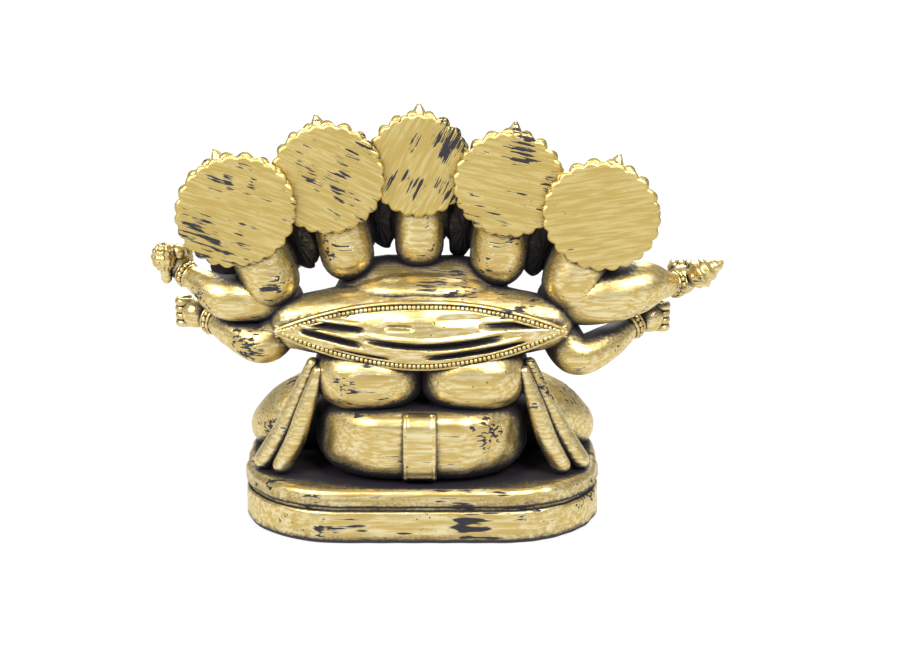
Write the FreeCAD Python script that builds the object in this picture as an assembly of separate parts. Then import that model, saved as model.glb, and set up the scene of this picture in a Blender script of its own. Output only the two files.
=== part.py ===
"""Five-headed seated figure on a rounded plinth, as separate solids that meet face to face.

Frame: +Z up, origin at the centre of the plinth's underside, the figure faces -Y and its own left hand is on the +X side.
Every length is in millimetres and every angle in degrees.
"""
import FreeCAD
import Part
import math
import os
import tempfile

# ---------------------------------------------------------------- plinth
PLINTH_WIDTH = 52.8
PLINTH_DEPTH = 38.0
PLINTH_CORNER = 15.0          # plan radius of the corners
FOOT_HEIGHT = 5.0             # lower tier
FOOT_EDGE = 0.9               # rounding of the lower tier's bottom edge
GROOVE_HEIGHT = 0.5
GROOVE_DEPTH = 0.6
SEAT_HEIGHT = 2.8             # upper tier
SEAT_EDGE = 1.1               # rounding of the upper tier's top edge

# ---------------------------------------------------------------- body
BODY_BACK = 1.6               # how far the hips stay inside the plinth's rear edge
HIPS_WIDTH = 31.4
HIPS_DEPTH = 26.0
HIPS_CORNER = 11.5            # plan radius of the hips
HIPS_BOTTOM_EDGE = 4.4        # rounding where the hips meet the seat
HIPS_TOP_EDGE = 2.4
WAIST_ABOVE_SEAT = 10.9       # crease between hips and upper back
LOBE_RADIUS = 8.2             # one of the two lobes of the upper back
CHEST_RADIUS = 9.0
CHEST_HALF_SPAN = 5.0         # distance from the middle to the centre of either end of the chest
CHEST_ABOVE_WAIST = 11.3
CHEST_CENTRE = 3.5            # distance of the chest's widest line behind the plinth's centre
BELLY_RADIUS = 11.3
SHOULDER_CENTRE = 7.4         # the same for the shoulders
SHOULDER_TIP_RADIUS = 4.3
SHOULDER_PAST_SHAWL = 1.0     # how far a shoulder runs past the shawl's tip

# ---------------------------------------------------------------- cloth
SHAWL_WIDTH = 43.4
SHAWL_RISE = 5.2              # height of the upper edge's arc above the tips
SHAWL_DROP = 4.7              # depth of the lower edge's arc below the tips
SHAWL_BORDER = 1.0            # width of a beaded border
SHAWL_THICKNESS = 1.5         # shawl's standing height over the shoulders
BORDER_PROUD = 0.35           # how far a border stands over the cloth
SASH_WIDTH = 5.0
SASH_THICKNESS = 0.8
FOLD_RADIUS = 1.5             # one fold of a side drape
FOLD_PITCH = 2.2

# ---------------------------------------------------------------- legs
THIGH_RADIUS = 6.0
KNEE_RADIUS = 4.0
SHIN_RADIUS = 3.1
ANKLE_RADIUS = 2.3
KNEE_INSET = 0.1              # how far a knee stays inside the plinth's side
FOOT_LENGTH = 9.5
FOOT_RADIUS = 1.6
FOOT_CLEAR = 1.2              # seat left bare in front of a foot

# ---------------------------------------------------------------- head units
# name, halo centre (x, y, z above the chest's level), lean from upright, halo half-width and half-height, neck radius
HEAD_UNITS = (
    ("left_outer", 26.5, 12.5, 17.6, 22.0, 8.5, 7.8, 4.3),
    ("left_inner", 13.4, 10.5, 21.9, 12.0, 7.9, 7.7, 4.0),
    ("centre", 0.3, 9.0, 23.6, 0.0, 7.2, 7.2, 3.6),
    ("right_inner", -12.7, 10.5, 21.1, -7.0, 7.7, 7.4, 4.2),
    ("right_outer", -25.9, 12.5, 16.9, -19.0, 8.2, 7.6, 4.6),
)
HALO_THICKNESS = 2.2
HALO_SCALLOPS = 24
SCALLOP_HEIGHT = 0.45
CROWN_RADIUS = 4.6
CROWN_HEIGHT = 14.0
CROWN_TIP_PROUD = 1.1         # how far the tip stands over the halo's rim
HEAD_WIDTH = 9.6
HEAD_DROP = 9.6               # head centre below the halo centre
NECK_DROP = 16.2              # lowest point of a neck below the halo centre
NECK_SETBACK = 0.8            # back of a neck in front of the halo's back face
EAR_LENGTH = 8.6
EAR_WIDTH = 4.4
EAR_THICKNESS = 0.9
EAR_TURN = 18.0               # how far an ear is turned back from square to the face
TRUNK_RADIUS = 1.9
TRUNK_TIP_RADIUS = 0.8
TUSK_RADIUS = 0.5
TUSK_LENGTH = 3.6

# ---------------------------------------------------------------- arms, what they wear and hold
UPPER_ARM_RADIUS = 3.5
RIGHT_UPPER_ARM_RADIUS = 4.2
LOWER_ARM_RADIUS = 3.0
WRIST_RADIUS = 1.6
PALM_RADIUS = 1.9
FINGER_RADIUS = 0.62
BANGLE_RADIUS = 2.35
BANGLE_WIDTH = 1.5
BUD_RADIUS = 1.85
CONCH_RADIUS = 2.35
CONCH_LENGTH = 6.4
BEAD_RADIUS = 0.7
BEAD_PROUD = 0.45             # how far the string's axis lies off the chest
NECKLACE_BEADS = 17
NECKLACE_HALF_WIDTH = 10.5
NECKLACE_TOP = 6.2            # level of the string's ends over the chest's level
NECKLACE_SAG = 5.8

RUN_SHARE = 0.95              # radius of a limb's tapered run as a share of the ball at its end, so that they cut cleanly
MESH_TOLERANCE = 0.05
MESH_SHARE = 0.02             # by how much of its volume a sound solid may differ from its triangles
MESH_SLACK = 0.3
FILE_SHARE = 0.001            # by how much of its volume a solid may change in its file
NUDGE = 0.012
NUDGE_TRIES = 10

SEAT_TOP = FOOT_HEIGHT + GROOVE_HEIGHT + SEAT_HEIGHT
FRONT = -PLINTH_DEPTH / 2
BACK = PLINTH_DEPTH / 2 - BODY_BACK
WAIST = SEAT_TOP + WAIST_ABOVE_SEAT
CHEST_LEVEL = WAIST + CHEST_ABOVE_WAIST
SHAWL_LEVEL = CHEST_LEVEL
LEFT = 1.0
RIGHT = -1.0


def vector(x, y, z):
    return FreeCAD.Vector(x, y, z)


def mesh_volume(solid):
    """Volume inside the solid's faces as triangles, which is wrong when a face is trimmed wrongly."""
    points, triangles = solid.tessellate(MESH_TOLERANCE)
    return sum(points[a].dot(points[b].cross(points[c])) for a, b, c in triangles) / 6


def sound(solid, most):
    """Whether a solid is valid, no larger than it can be, and holds the same volume as its triangles do."""
    volume = solid.Volume
    if not solid.isValid() or not 0 < volume <= 1.001 * most:
        return False
    return abs(mesh_volume(solid) - volume) < MESH_SHARE * volume + MESH_SLACK


def sound_in_file(solid):
    """Whether a solid keeps its volume when its STEP file is written and read again."""
    with tempfile.TemporaryDirectory() as folder:
        path = os.path.join(folder, "copy.step")
        solid.exportStep(path)
        copy = Part.Shape()
        copy.read(path)
    return len(copy.Solids) == 1 and abs(copy.Volume - solid.Volume) < FILE_SHARE * solid.Volume


def nudges():
    """Small shifts for a repeated union or cut, where two faces meet too nearly in line for the first one to be sound."""
    yield vector(0, 0, 0)
    for step in range(1, NUDGE_TRIES):
        yield vector(math.cos(2.4 * step), math.sin(2.4 * step), (-1) ** step * 0.7) * (NUDGE * (1 + step // 3))


def joined(pieces):
    """Union of overlapping pieces as one sound solid."""
    if len(pieces) == 1:
        return pieces[0]
    for nudge in nudges():
        moved = [piece.translated(nudge * i) for i, piece in enumerate(pieces)]
        solids = moved[0].multiFuse(moved[1:]).Solids
        if len(solids) == 1 and sound(solids[0], sum(piece.Volume for piece in pieces)):
            if solids[0].Volume > 0.99 * max(piece.Volume for piece in pieces):
                return solids[0]
    raise ValueError("a union of overlapping pieces is not one sound solid")


def trimmed(solid, cutters):
    """What the cutters leave of a solid; an offcut that they leave loose is not kept."""
    if not cutters:
        return solid
    for nudge in nudges():
        for groups in ([cutters], [[cutter] for cutter in cutters]):
            kept = solid.translated(nudge)
            for group in groups:
                left = kept.cut(group).Solids
                kept = max(left, key=lambda piece: piece.Volume) if left else None
                if kept is None or not sound(kept, solid.Volume):
                    break
            else:
                if sound_in_file(kept):
                    return kept
    raise ValueError("no cut leaves a sound solid")


def limb(stations):
    """Rounded limb through (point, radius) stations: a ball at each, with its poles along the limb, and tapered runs."""
    points = [point for point, _ in stations]
    pieces = []
    for (point, radius), before, after in zip(stations, [points[0]] + points, points[1:] + [points[-1]]):
        pieces.append(Part.makeSphere(radius, point, after - before))
    for (start, r_start), (end, r_end) in zip(stations, stations[1:]):
        run = end - start
        r_start, r_end = r_start * RUN_SHARE, r_end * RUN_SHARE
        if abs(r_start - r_end) < 1e-6:
            pieces.append(Part.makeCylinder(r_start, run.Length, start, run))
        else:
            pieces.append(Part.makeCone(r_start, r_end, run.Length, start, run))
    return joined(pieces)


def rounded_slab(width, depth, corner, bottom, height):
    """Upright prism over a rectangle with round corners."""
    x, y = width / 2, depth / 2
    cx, cy = x - corner, y - corner
    edges = []
    for sx, sy, start in ((1, 1, 0), (-1, 1, 90), (-1, -1, 180), (1, -1, 270)):
        circle = Part.Circle(vector(sx * cx, sy * cy, bottom), vector(0, 0, 1), corner)
        edges.append(Part.Arc(circle, math.radians(start), math.radians(start + 90)).toShape())
    corners = [(e.Vertexes[0].Point, e.Vertexes[-1].Point) for e in edges]
    outline = []
    for i, edge in enumerate(edges):
        outline.append(edge)
        outline.append(Part.makeLine(corners[i][1], corners[(i + 1) % 4][0]))
    return Part.Face(Part.Wire(outline)).extrude(vector(0, 0, height))


def level_edges(shape, level):
    return [e for e in shape.Edges if all(abs(v.Z - level) < 1e-6 for v in e.Vertexes)]


def plinth_foot():
    """Lower tier, with the recessed neck of the groove on top of it."""
    tier = rounded_slab(PLINTH_WIDTH, PLINTH_DEPTH, PLINTH_CORNER, 0, FOOT_HEIGHT)
    tier = tier.makeFillet(FOOT_EDGE, level_edges(tier, 0))
    inset = 2 * GROOVE_DEPTH
    neck = rounded_slab(PLINTH_WIDTH - inset, PLINTH_DEPTH - inset, PLINTH_CORNER - GROOVE_DEPTH,
                        FOOT_HEIGHT, GROOVE_HEIGHT)
    return joined([tier, neck])


def plinth_seat():
    """Upper tier with a soft top edge."""
    bottom = FOOT_HEIGHT + GROOVE_HEIGHT
    tier = rounded_slab(PLINTH_WIDTH, PLINTH_DEPTH, PLINTH_CORNER, bottom, SEAT_HEIGHT)
    return tier.makeFillet(SEAT_EDGE, level_edges(tier, SEAT_TOP))


def half_space(level, above):
    """Large block above or below a level, to cut forms flat."""
    size = 4 * PLINTH_WIDTH
    corner = vector(-size / 2, -size / 2, level if above else level - size)
    return Part.makeBox(size, size, size, corner)


def hips_form(grow=0.0):
    """Rounded lower body; grow thickens it all round, for the cloth that lies on it."""
    form = rounded_slab(HIPS_WIDTH + 2 * grow, HIPS_DEPTH + 2 * grow, HIPS_CORNER + grow, SEAT_TOP, WAIST_ABOVE_SEAT)
    form.translate(vector(0, BACK - HIPS_DEPTH / 2, 0))
    form = form.makeFillet(HIPS_BOTTOM_EDGE, level_edges(form, SEAT_TOP))
    return form.makeFillet(HIPS_TOP_EDGE, level_edges(form, WAIST))


def hips():
    return hips_form()


def torso():
    """Two back lobes and the chest in one form above the waist."""
    reach = HIPS_WIDTH / 2 - LOBE_RADIUS
    lobes = [Part.makeSphere(LOBE_RADIUS, vector(side * reach, BACK - 0.7 - LOBE_RADIUS, WAIST + 0.55 * LOBE_RADIUS))
             for side in (LEFT, RIGHT)]
    chest = limb([(vector(side * CHEST_HALF_SPAN, CHEST_CENTRE, CHEST_LEVEL), CHEST_RADIUS) for side in (LEFT, RIGHT)])
    return joined([chest] + lobes).cut(half_space(WAIST, False))


def belly():
    return Part.makeSphere(BELLY_RADIUS, vector(0, -2.8, SEAT_TOP + BELLY_RADIUS - 1.0), vector(0, -1, 0))


def shoulder(side):
    """One half of the rounded yoke that carries the shawl and the arms."""
    radius = BACK - SHAWL_THICKNESS - SHOULDER_CENTRE
    tip = vector(side * (SHAWL_WIDTH / 2 + SHOULDER_PAST_SHAWL - SHOULDER_TIP_RADIUS), SHOULDER_CENTRE, CHEST_LEVEL)
    size = 2 * PLINTH_WIDTH
    half = Part.makeBox(size, size, size, vector(0 if side > 0 else -size, -size / 2, 0))
    return limb([(vector(0, SHOULDER_CENTRE, CHEST_LEVEL), radius), (tip, SHOULDER_TIP_RADIUS)]).common(half)


def lens(shrink):
    """Block whose outline, seen from behind, is the lens between the shawl's two edges."""
    y = SHOULDER_CENTRE
    half, rise, drop = SHAWL_WIDTH / 2 - 2.2 * shrink, SHAWL_RISE - shrink, SHAWL_DROP - shrink
    tips = vector(half, y, SHAWL_LEVEL), vector(-half, y, SHAWL_LEVEL)
    upper = Part.Arc(tips[0], vector(0, y, SHAWL_LEVEL + rise), tips[1]).toShape()
    lower = Part.Arc(tips[1], vector(0, y, SHAWL_LEVEL - drop), tips[0]).toShape()
    return Part.Face(Part.Wire([upper, lower])).extrude(vector(0, PLINTH_DEPTH, 0))


def shawl_form(proud):
    """Rounded outer face of the cloth, standing proud of the shoulders."""
    grow = SHAWL_THICKNESS + proud
    reach = SHAWL_WIDTH / 2 + SHOULDER_PAST_SHAWL - SHOULDER_TIP_RADIUS
    middle = vector(0, SHOULDER_CENTRE, SHAWL_LEVEL), BACK - SHOULDER_CENTRE + proud
    tips = [(vector(side * reach, SHOULDER_CENTRE, SHAWL_LEVEL), SHOULDER_TIP_RADIUS + grow) for side in (LEFT, RIGHT)]
    return limb([tips[0], middle, tips[1]])


def shawl():
    return lens(SHAWL_BORDER).common(shawl_form(0.0))


def shawl_border(above):
    """Beaded edge band above or below the level of the tips."""
    band = lens(0.0).common(shawl_form(BORDER_PROUD)).cut(lens(SHAWL_BORDER))
    return band.common(half_space(SHAWL_LEVEL, above))


def sash():
    """Strip of cloth down the middle of the hips."""
    strip = Part.makeBox(SASH_WIDTH, PLINTH_DEPTH, WAIST_ABOVE_SEAT,
                         vector(-SASH_WIDTH / 2 + 0.2, BACK - HIPS_DEPTH / 2, SEAT_TOP))
    return strip.common(hips_form(SASH_THICKNESS))


def drape(side):
    """Two parallel folds of cloth from the waist down to the seat."""
    folds = []
    for offset in (0.0, FOLD_PITCH):
        top = vector(side * (HIPS_WIDTH / 2 + 0.2 + 0.4 * offset), BACK - 7.0 - offset, WAIST + 4.6)
        middle = vector(side * (HIPS_WIDTH / 2 + 3.4 + offset), BACK - 6.4 - offset, SEAT_TOP + 8.0)
        foot = vector(side * (PLINTH_WIDTH / 2 - 3.6), BACK - 7.6 - 1.5 * offset, SEAT_TOP + 1.2)
        folds.append(limb([(top, FOLD_RADIUS), (middle, FOLD_RADIUS), (foot, FOLD_RADIUS)]))
    return joined(folds)


def leg(side):
    """Thigh, knee on the plinth's side and shin folded across the front."""
    lift = 0.6 if side > 0 else 0.0
    thigh = vector(side * 14.2, -2.2, SEAT_TOP + THIGH_RADIUS + 0.9)
    knee = vector(side * (PLINTH_WIDTH / 2 - KNEE_INSET - KNEE_RADIUS), -3.6, SEAT_TOP + KNEE_RADIUS - 1.2)
    shin = vector(side * 12.5, FRONT + 6.8, SEAT_TOP + SHIN_RADIUS)
    ankle = vector(side * 2.6, FRONT + 5.4 - lift, SEAT_TOP + ANKLE_RADIUS + lift)
    return limb([(thigh, THIGH_RADIUS), (knee, KNEE_RADIUS), (shin, SHIN_RADIUS), (ankle, ANKLE_RADIUS)])


def foot(side):
    """Foot tucked in front of the other leg's shin."""
    heel = vector(-side * 1.8, FRONT + FOOT_CLEAR + FOOT_RADIUS, SEAT_TOP + FOOT_RADIUS)
    toes = heel + vector(-side * (FOOT_LENGTH - 2 * FOOT_RADIUS), 0.0, -0.1)
    return limb([(heel, FOOT_RADIUS), (toes, FOOT_RADIUS * 0.85)])


class HeadUnit:
    """One head with its neck, ears, trunk, crown and halo, drawn upright at the halo centre and then leant into place."""

    def __init__(self, name, x, y, z, lean, half_width, half_height, neck_radius):
        self.name = name
        self.half_width, self.half_height = half_width, half_height
        self.neck_radius = neck_radius
        self.curl = LEFT if x >= 0 else RIGHT
        turn = FreeCAD.Rotation(vector(0, 1, 0), lean)
        self.placement = FreeCAD.Placement(vector(x, y, CHEST_LEVEL + z), turn)

    def placed(self, shape):
        copy = shape.copy()
        copy.Placement = self.placement.multiply(copy.Placement)
        return copy

    def halo(self):
        """Plain back plate and, in front of it, a scalloped ring layer."""
        layer = HALO_THICKNESS / 2
        rx, rz = self.half_width, self.half_height
        edges = []
        for i in range(HALO_SCALLOPS):
            points = []
            for share, height in ((0.0, 0.0), (0.5, SCALLOP_HEIGHT), (1.0, 0.0)):
                angle = 2 * math.pi * (i + share) / HALO_SCALLOPS
                points.append(vector((rx + height) * math.cos(angle), -layer, (rz + height) * math.sin(angle)))
            edges.append(Part.Arc(*points).toShape())
        ring = Part.Face(Part.Wire(edges)).extrude(vector(0, -layer, 0))
        plate = Part.makeCylinder(min(rx, rz) - 0.1, layer, vector(0, -layer, 0), vector(0, 1, 0))
        return self.placed(joined([plate, ring]))

    def crown(self):
        """Tiered pointed crown, turned about an upright axis in front of the halo."""
        top = self.half_height + CROWN_TIP_PROUD
        bottom = top - CROWN_HEIGHT
        steps = ((0.96, 0.0), (1.06, 0.08), (0.95, 0.17), (1.02, 0.26), (0.88, 0.36), (0.84, 0.48),
                 (0.62, 0.62), (0.40, 0.72), (0.44, 0.79), (0.24, 0.87), (0.16, 0.93))
        profile = [vector(0, 0, bottom)]
        profile += [vector(CROWN_RADIUS * r, 0, bottom + CROWN_HEIGHT * h) for r, h in steps]
        profile += [vector(0, 0, top), vector(0, 0, bottom)]
        turned = Part.Face(Part.makePolygon(profile)).revolve(vector(0, 0, 0), vector(0, 0, 1), 360)
        turned.translate(vector(0, -HALO_THICKNESS - 0.55 * CROWN_RADIUS, 0))
        return self.placed(turned)

    def neck(self):
        """Rounded column behind the head, which shows as a bulge under the halo."""
        r = self.neck_radius
        y = -NECK_SETBACK - r
        upper = vector(0, y, -self.half_height + r / 2)
        lower = vector(0, y, -NECK_DROP + r)
        return self.placed(limb([(upper, r), (lower, r)]))

    def head_centre(self):
        return vector(0, -NECK_SETBACK - self.neck_radius - HEAD_WIDTH / 2 + 1.0, -HEAD_DROP)

    def head(self):
        return self.placed(Part.makeSphere(HEAD_WIDTH / 2, self.head_centre(), vector(0, -1, 0)))

    def ears(self):
        """Two upright flaps beside the head."""
        flaps = []
        for side in (LEFT, RIGHT):
            flap = rounded_slab(EAR_WIDTH, EAR_LENGTH, 0.45 * EAR_WIDTH, 0, EAR_THICKNESS)
            flap.rotate(vector(0, 0, 0), vector(1, 0, 0), 90)
            flap.translate(vector(side * (EAR_WIDTH / 2), 0, 0))
            flap.rotate(vector(0, 0, 0), vector(0, 0, 1), side * EAR_TURN)
            flap.translate(self.head_centre() + vector(side * (HEAD_WIDTH / 2 - 1.2), -0.6, 0.2))
            flaps.append(self.placed(flap))
        return Part.makeCompound(flaps)

    def trunk(self):
        """Trunk from the middle of the face down over the chest, curled outwards at its tip."""
        face = self.head_centre() + vector(0, -HEAD_WIDTH / 2, 0)
        curl = self.curl
        steps = ((0.0, 1.6, 0.5, 1.0), (0.0, -1.0, -3.0, 0.92), (0.1, -1.7, -6.6, 0.8),
                 (0.6, -1.6, -10.2, 0.66), (2.0, -2.2, -12.6, 0.54), (3.7, -2.8, -12.0, 0.44))
        stations = [(face + vector(curl * x, y, z), max(TRUNK_RADIUS * share, TRUNK_TIP_RADIUS))
                    for x, y, z, share in steps]
        return self.placed(limb(stations))

    def tusks(self):
        face = self.head_centre() + vector(0, -HEAD_WIDTH / 2, 0)
        cones = []
        for side in (LEFT, RIGHT):
            root = face + vector(side * 2.5, 2.4, -2.6)
            reach = vector(side * 0.35, -1.0, -0.55)
            cones.append(self.placed(Part.makeCone(TUSK_RADIUS, TUSK_RADIUS / 3, TUSK_LENGTH, root, reach)))
        return cones


def shoulder_root(side, drop):
    """Point inside a shoulder from which an arm starts, drop below the upper arm's own."""
    return vector(side * (SHAWL_WIDTH / 2 - 1.0 - 0.3 * drop), 5.5, CHEST_LEVEL + 3.0 - drop)


def upper_wrist(side):
    """End of a raised arm, beside the bud or the conch."""
    reach = vector(13.9, -1.5, 3.4) if side > 0 else vector(-16.9, -1.7, 1.8)
    return shoulder_root(side, 0.0) + reach


def arm_upper(side):
    """Rear arm, raised sideways to the hand that holds the bud or the conch."""
    root = shoulder_root(side, 0.0)
    if side > 0:
        return limb([(root, UPPER_ARM_RADIUS),
                     (root + vector(8.3, 1.9, 1.0), UPPER_ARM_RADIUS * 0.92),
                     (upper_wrist(side), WRIST_RADIUS)])
    return limb([(root, RIGHT_UPPER_ARM_RADIUS * 0.9),
                 (root + vector(-7.8, 1.9, 1.5), RIGHT_UPPER_ARM_RADIUS),
                 (root + vector(-12.9, 0.7, 2.4), RIGHT_UPPER_ARM_RADIUS * 0.8),
                 (upper_wrist(side), WRIST_RADIUS)])


def lower_wrist(side):
    reach = vector(11.2, -3.6, -1.1) if side > 0 else vector(-11.7, -3.6, -1.0)
    return shoulder_root(side, 3.0 if side > 0 else 3.8) + reach


def arm_lower(side):
    """Front arm: down to the elbow, then forwards and outwards to the wrist."""
    root = shoulder_root(side, 3.0 if side > 0 else 3.8)
    sag = 0.0 if side > 0 else 1.0
    return limb([(root, LOWER_ARM_RADIUS),
                 (root + vector(side * 3.2, 2.4, -3.0 - sag), LOWER_ARM_RADIUS),
                 (root + vector(side * 7.8, 0.0, -1.9 - sag), LOWER_ARM_RADIUS * 0.86),
                 (lower_wrist(side), WRIST_RADIUS * 1.1)])


def closed_hand(palm, reach, spread):
    """Palm with four curled fingers laid side by side along spread, pointing along reach."""
    pieces = [Part.makeSphere(1.15 * PALM_RADIUS, palm, reach.cross(spread))]
    for i in range(4):
        root = palm + spread * ((i - 1.5) * 1.75 * FINGER_RADIUS) + reach * (0.45 * PALM_RADIUS)
        knuckle = root + reach * (0.8 * PALM_RADIUS)
        tip = knuckle + vector(0, -1.2 * PALM_RADIUS, 0) - reach * (0.3 * PALM_RADIUS)
        pieces.append(limb([(root, FINGER_RADIUS), (knuckle, FINGER_RADIUS), (tip, FINGER_RADIUS)]))
    return joined(pieces)


def hand_lower(side):
    palm = lower_wrist(side) + vector(side * 2.7, -1.6, 0.7)
    return closed_hand(palm, vector(side, 0, 0), vector(0, 0.15, 1))


def held_point(side):
    """Palm of an upper hand, where it grips the bud or the conch."""
    return upper_wrist(side) + (vector(1.4, -1.4, 1.3) if side > 0 else vector(-1.0, -1.6, 0.4))


def hand_upper(side):
    return closed_hand(held_point(side), vector(0.2 * side, 0, 0.8), vector(side, 0.2, 0))


def lotus_bud():
    centre = held_point(LEFT) + vector(BUD_RADIUS, 1.9, 1.4)
    bud = Part.makeSphere(BUD_RADIUS, centre)
    side_bud = Part.makeSphere(0.65 * BUD_RADIUS, centre + vector(-1.15 * BUD_RADIUS, -0.6, 0.3 * BUD_RADIUS))
    stem = limb([(centre, 0.5 * BUD_RADIUS), (centre + vector(-0.3, 0, -1.75 * BUD_RADIUS), 0.5 * BUD_RADIUS)])
    return joined([bud, side_bud, stem])


def conch():
    """Spindle shell: a wide shoulder, a drawn-out mouth end and a pointed spire."""
    steps = ((0.0, 0.0), (0.42, 0.03), (0.86, 0.2), (1.0, 0.38), (0.8, 0.56), (0.56, 0.74), (0.3, 0.9), (0.0, 1.0))
    profile = [vector(CONCH_RADIUS * r, 0, CONCH_LENGTH * h) for r, h in steps]
    profile.append(profile[0])
    shell = Part.Face(Part.makePolygon(profile)).revolve(vector(0, 0, 0), vector(0, 0, 1), 360)
    shell.Placement = FreeCAD.Placement(held_point(RIGHT) + vector(-0.4, 1.2, -0.1),
                                        FreeCAD.Rotation(vector(0, 0, 1), vector(-0.88, 0.0, 0.48)))
    return shell


def bangle(start, end, radius, width):
    """Solid ring of a wrist at start, square to the line towards end."""
    along = end - start
    along.normalize()
    return Part.makeCylinder(radius, width, start - along * (width / 2), along)


def bangles():
    """Beaded rings round the four wrists."""
    rings = []
    for side in (LEFT, RIGHT):
        back = vector(side * -0.9, 0.7, -0.25)
        rings.append(bangle(lower_wrist(side) + back, lower_wrist(side), BANGLE_RADIUS, BANGLE_WIDTH))
        rings.append(bangle(upper_wrist(side), held_point(side), 0.85 * BANGLE_RADIUS, 0.6 * BANGLE_WIDTH))
    return Part.makeCompound(rings)


def necklace():
    """String of beads that hangs over the chest."""
    stations = []
    for i in range(NECKLACE_BEADS):
        angle = math.pi * (0.06 + 0.88 * i / (NECKLACE_BEADS - 1))
        x = NECKLACE_HALF_WIDTH * math.cos(angle)
        z = NECKLACE_TOP - NECKLACE_SAG * math.sin(angle)
        past_end = max(0.0, abs(x) - CHEST_HALF_SPAN)
        y = CHEST_CENTRE - math.sqrt(max(0.0, CHEST_RADIUS ** 2 - past_end ** 2 - z ** 2)) - BEAD_PROUD
        stations.append(vector(x, y, CHEST_LEVEL + z))
    ahead, behind = stations[1:] + [stations[-1]], [stations[0]] + stations
    beads = [Part.makeSphere(BEAD_RADIUS, here, after - before) for here, before, after in zip(stations, behind, ahead)]
    threads = [Part.makeCylinder(BEAD_RADIUS / 2, (b - a).Length, a, b - a) for a, b in zip(stations, stations[1:])]
    return joined(beads + threads)


def figure():
    """Every piece by name, in the order in which a later piece gives way to the ones before it."""
    units = [HeadUnit(*row) for row in HEAD_UNITS]
    pieces = [("plinth_foot", plinth_foot()), ("plinth_seat", plinth_seat())]
    pieces += [("hips", hips()), ("torso", torso()), ("belly", belly())]
    pieces += [(f"arm_lower_{word}", arm_lower(side)) for word, side in (("left", LEFT), ("right", RIGHT))]
    pieces += [(f"neck_{u.name}", u.neck()) for u in units]
    pieces += [(f"arm_upper_{word}", arm_upper(side)) for word, side in (("left", LEFT), ("right", RIGHT))]
    pieces += [(f"shoulder_{word}", shoulder(side)) for word, side in (("left", LEFT), ("right", RIGHT))]
    pieces += [(f"halo_{u.name}", u.halo()) for u in reversed(units)]
    pieces += [(f"head_{u.name}", u.head()) for u in units]
    pieces.append(("necklace", necklace()))
    pieces += [(f"crown_{u.name}", u.crown()) for u in units]
    pieces += [(f"trunk_{u.name}", u.trunk()) for u in units]
    pieces += [("tusks", Part.makeCompound([cone for u in units for cone in u.tusks()]))]
    pieces += [(f"ears_{u.name}", u.ears()) for u in units]
    for word, side in (("left", LEFT), ("right", RIGHT)):
        pieces.append((f"leg_{word}", leg(side)))
        pieces.append((f"foot_{word}", foot(side)))
    pieces += [("shawl", shawl()), ("shawl_border_upper", shawl_border(True)),
               ("shawl_border_lower", shawl_border(False)), ("sash", sash())]
    pieces += [(f"drape_{word}", drape(side)) for word, side in (("left", LEFT), ("right", RIGHT))]
    pieces += [("bangles", bangles())]
    pieces += [("lotus_bud", lotus_bud()), ("conch", conch())]
    for word, side in (("left", LEFT), ("right", RIGHT)):
        pieces.append((f"hand_lower_{word}", hand_lower(side)))
        pieces.append((f"hand_upper_{word}", hand_upper(side)))
    return pieces


def carved(pieces):
    """Each piece with the earlier ones cut out of it."""
    done, placed = [], []
    for name, shape in pieces:
        kept = []
        for solid in shape.Solids:
            box = solid.optimalBoundingBox(False)
            cutters = [other for other, other_box in placed if box.intersect(other_box)]
            kept.append(trimmed(solid, cutters))
        placed += [(solid, solid.optimalBoundingBox(False)) for solid in kept]
        done.append((name, kept))
    return done


def main():
    os.makedirs("parts", exist_ok=True)
    for name, solids in carved(figure()):
        shape = solids[0] if len(solids) == 1 else Part.makeCompound(solids)
        shape.exportStep(f"parts/{name}.step")


main()
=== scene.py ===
import logging
import math
from dataclasses import dataclass, field
from enum import Enum

import bpy
import numpy as np
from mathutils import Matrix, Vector


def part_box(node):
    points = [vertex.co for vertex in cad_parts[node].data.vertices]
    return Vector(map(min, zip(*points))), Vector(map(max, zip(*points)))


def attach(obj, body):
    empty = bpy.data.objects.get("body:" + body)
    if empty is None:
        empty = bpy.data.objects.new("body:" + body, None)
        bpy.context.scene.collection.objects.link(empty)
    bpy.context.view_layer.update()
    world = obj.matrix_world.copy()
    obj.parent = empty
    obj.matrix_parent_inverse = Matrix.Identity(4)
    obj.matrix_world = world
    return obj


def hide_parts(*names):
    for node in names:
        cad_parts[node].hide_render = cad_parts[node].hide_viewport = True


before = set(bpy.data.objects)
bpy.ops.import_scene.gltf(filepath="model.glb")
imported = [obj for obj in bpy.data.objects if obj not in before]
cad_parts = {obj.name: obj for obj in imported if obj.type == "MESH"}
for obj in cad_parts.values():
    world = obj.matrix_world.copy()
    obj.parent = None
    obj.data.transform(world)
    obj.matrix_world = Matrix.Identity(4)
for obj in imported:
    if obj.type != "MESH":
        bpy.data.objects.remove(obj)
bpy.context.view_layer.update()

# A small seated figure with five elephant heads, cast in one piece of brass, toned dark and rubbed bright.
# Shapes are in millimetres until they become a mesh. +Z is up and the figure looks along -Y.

MM = 0.001
LOG = logging.getLogger("figure")


class Slot(Enum):
    """Material slots of the part."""

    PLINTH = "gilt_plinth"
    BODY = "gilt_body"
    CLOTH = "gilt_cloth"
    CROWN = "gilt_crown"
    ORNAMENT = "gilt_ornament"


class Side(Enum):
    """The figure's own left (+X) and right (-X)."""

    LEFT = 1.0
    RIGHT = -1.0

    @property
    def word(self) -> str:
        """Name used in node names."""
        return self.name.lower()


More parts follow.
